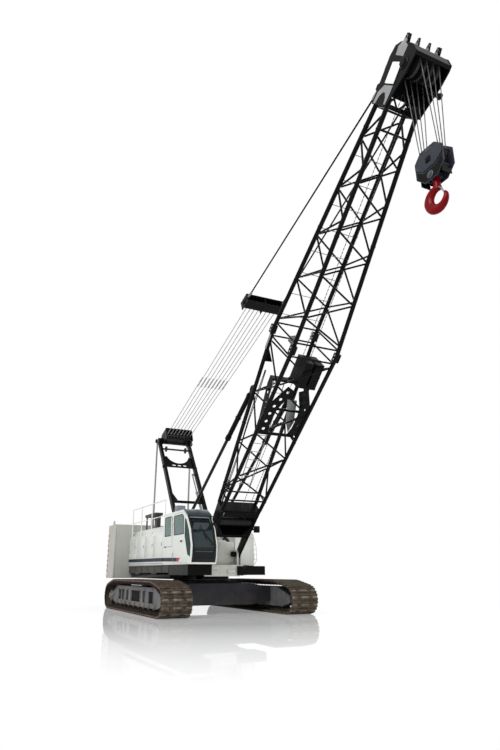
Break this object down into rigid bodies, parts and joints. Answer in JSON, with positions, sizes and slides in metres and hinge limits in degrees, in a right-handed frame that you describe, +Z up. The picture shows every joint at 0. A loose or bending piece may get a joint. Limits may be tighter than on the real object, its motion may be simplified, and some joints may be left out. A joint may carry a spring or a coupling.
{
  "type": "lattice-boom crawler crane",
  "caption": "Crawler crane with lattice boom, rope-hung hook block, raked gantry, side cab, machinery houses and rear counterweight.",
  "frame": {"origin": "centre of the whole crane's box, on the ground under the tracks", "axes": "+Z up, -Y forward along the boom, -X the cab side"},
  "size_m": [5.015, 17.5791, 12.3288],
  "materials": {
    "carbody": "dark slate paint",
    "track": "worn cast shoes with dry mud",
    "track_frame": "blue-grey paint, dusty",
    "wheel": "worn cast wheels",
    "bed": "charcoal paint",
    "body": "off-white gloss paint",
    "counterweight": "light warm grey paint on castings",
    "engine": "plain block",
    "glass": "dark green tint",
    "seat": "black seat cloth",
    "boom": "gloss black paint",
    "cheek": "light grey paint",
    "sheave": "dark cast sheaves with bright grooves",
    "drum": "dark paint, rope-polished",
    "rope": "greased wire rope",
    "block": "dark slate paint",
    "hook": "red gloss paint",
    "rail": "off-white paint"
  },
  "bodies": {
    "undercarriage": {"carbody": "carbody", "cross_beams": "carbody", "slewing_ring": "wheel", "track_frame_right": "track_frame", "track_frame_left": "track_frame", "track_right": "track", "track_left": "track", "track_rollers_right": "wheel", "track_rollers_left": "wheel", "drive_sprockets": "wheel", "idler_wheels": "wheel"},
    "upperworks": {"rotating_bed": "bed", "spine_plates": "bed", "boom_foot_pins": "rope", "machinery_house_right": "body", "machinery_house_left": "body", "engine_block": "engine", "counterweight_lower": "counterweight", "counterweight_upper": "counterweight", "counterweight_lugs": "counterweight", "cab_shell": "body", "cab_glass": "glass", "cab_base": "bed", "operator_seat": "seat", "gantry_frame": "boom", "gantry_rear_links": "boom", "roof_railing": "rail", "front_step_deck": "bed"},
    "cab_door": {"cab_door": "body", "cab_door_glass": "glass"},
    "main_drum": {"main_drum": "drum"},
    "auxiliary_drum": {"auxiliary_drum": "drum"},
    "boom_hoist_drum": {"boom_hoist_drum": "drum"},
    "gantry_sheaves": {"gantry_sheaves": "sheave"},
    "hoist_lines": {"hoist_bail": "boom", "hoist_ropes_gantry": "rope"},
    "boom": {"butt_chords": "boom", "butt_lacing": "boom", "tip_chords": "boom", "tip_lacing": "boom", "boom_foot_arms": "boom", "boom_foot_box": "boom", "mid_boom_gussets": "boom", "rope_roller_boxes": "boom", "boom_head": "cheek", "backstop_ears": "boom"},
    "boom_drum": {"boom_foot_drum": "drum"},
    "head_sheaves": {"head_sheaves": "sheave"},
    "pendants": {"boom_pendants": "rope", "bridle": "boom", "hoist_ropes_bridle": "rope"},
    "bridle_sheaves": {"bridle_sheaves": "sheave"},
    "hook_block": {"hook_block": "block", "hoist_falls": "rope"},
    "block_sheaves": {"block_sheaves": "sheave"},
    "hook": {"hook": "hook"},
    "backstop_tubes": {"backstop_tubes": "boom"},
    "backstop_rods": {"backstop_rods": "rope"}
  },
  "joints": [
    {"name": "slewing", "type": "hinge", "parent": "undercarriage", "child": "upperworks", "pos_m": [0, 3.67362, 1.1], "axis": [0, 0, 1], "continuous": true},
    {"name": "cab_door_hinge", "type": "hinge", "parent": "upperworks", "child": "cab_door", "pos_m": [-1.572, 2.34262, 2.225], "axis": [0, 0, -1], "range_deg": [0, 95]},
    {"name": "main_drum_turn", "type": "hinge", "parent": "upperworks", "child": "main_drum", "pos_m": [0, 2.84362, 1.96], "axis": [1, 0, 0], "continuous": true},
    {"name": "auxiliary_drum_turn", "type": "hinge", "parent": "upperworks", "child": "auxiliary_drum", "pos_m": [0, 4.72362, 1.96], "axis": [1, 0, 0], "continuous": true},
    {"name": "boom_hoist_drum_turn", "type": "hinge", "parent": "upperworks", "child": "boom_hoist_drum", "pos_m": [0, 5.82362, 1.9], "axis": [1, 0, 0], "continuous": true},
    {"name": "gantry_sheaves_turn", "type": "hinge", "parent": "hoist_lines", "child": "gantry_sheaves", "pos_m": [0, 6.53826, 6.52173], "axis": [1, 0, 0], "continuous": true},
    {"name": "boom_luff", "type": "hinge", "parent": "upperworks", "child": "boom", "pos_m": [0, 2.09062, 1.78], "axis": [-1, 0, 0], "range_deg": [-14.4, 35.6]},
    {"name": "hoist_lines_swing", "type": "hinge", "parent": "upperworks", "child": "hoist_lines", "pos_m": [0, 6.93362, 6.38], "axis": [-1, 0, 0], "range_deg": [-14.53, 32.97]},
    {"name": "boom_drum_turn", "type": "hinge", "parent": "boom", "child": "boom_drum", "pos_m": [0, 1.06238, 2.73095], "axis": [1, 0, 0], "continuous": true},
    {"name": "head_sheaves_turn", "type": "hinge", "parent": "boom", "child": "head_sheaves", "pos_m": [0, -8.49967, 11.64692], "axis": [1, 0, 0], "continuous": true},
    {"name": "pendants_swing", "type": "hinge", "parent": "boom", "child": "pendants", "pos_m": [0, -7.62439, 11.79751], "axis": [-1, 0, 0], "range_deg": [-8, 8]},
    {"name": "bridle_sheaves_turn", "type": "hinge", "parent": "pendants", "child": "bridle_sheaves", "pos_m": [0, -1.01638, 9.23], "axis": [1, 0, 0], "continuous": true},
    {"name": "block_hang", "type": "hinge", "parent": "boom", "child": "hook_block", "pos_m": [0, -8.49967, 11.64692], "axis": [-1, 0, 0], "range_deg": [-37.6, 16.4]},
    {"name": "block_sheaves_turn", "type": "hinge", "parent": "hook_block", "child": "block_sheaves", "pos_m": [0, -8.49967, 9.22692], "axis": [1, 0, 0], "continuous": true},
    {"name": "hook_swivel", "type": "hinge", "parent": "hook_block", "child": "hook", "pos_m": [0, -8.49967, 8.86192], "axis": [0, 0, 1], "continuous": true},
    {"name": "backstop_swing", "type": "hinge", "parent": "boom", "child": "backstop_tubes", "pos_m": [0, -1.52016, 6.23957], "axis": [-1, 0, 0], "range_deg": [-4, 4]},
    {"name": "backstop_slide", "type": "slide", "parent": "backstop_tubes", "child": "backstop_rods", "axis": [0, -0.8332, 0.553], "range_m": [-0.4736, 1.1415]}
  ],
  "couplings": [
    {"joint": "hoist_lines_swing", "follows": "boom_luff", "ratio": 0.87},
    {"joint": "pendants_swing", "follows": "boom_luff", "ratio": -0.115},
    {"joint": "block_hang", "follows": "boom_luff", "ratio": -1},
    {"joint": "backstop_swing", "follows": "boom_luff", "ratio": -0.085},
    {"joint": "backstop_slide", "follows": "boom_luff", "m_per_rad": 1.805}
  ]
}
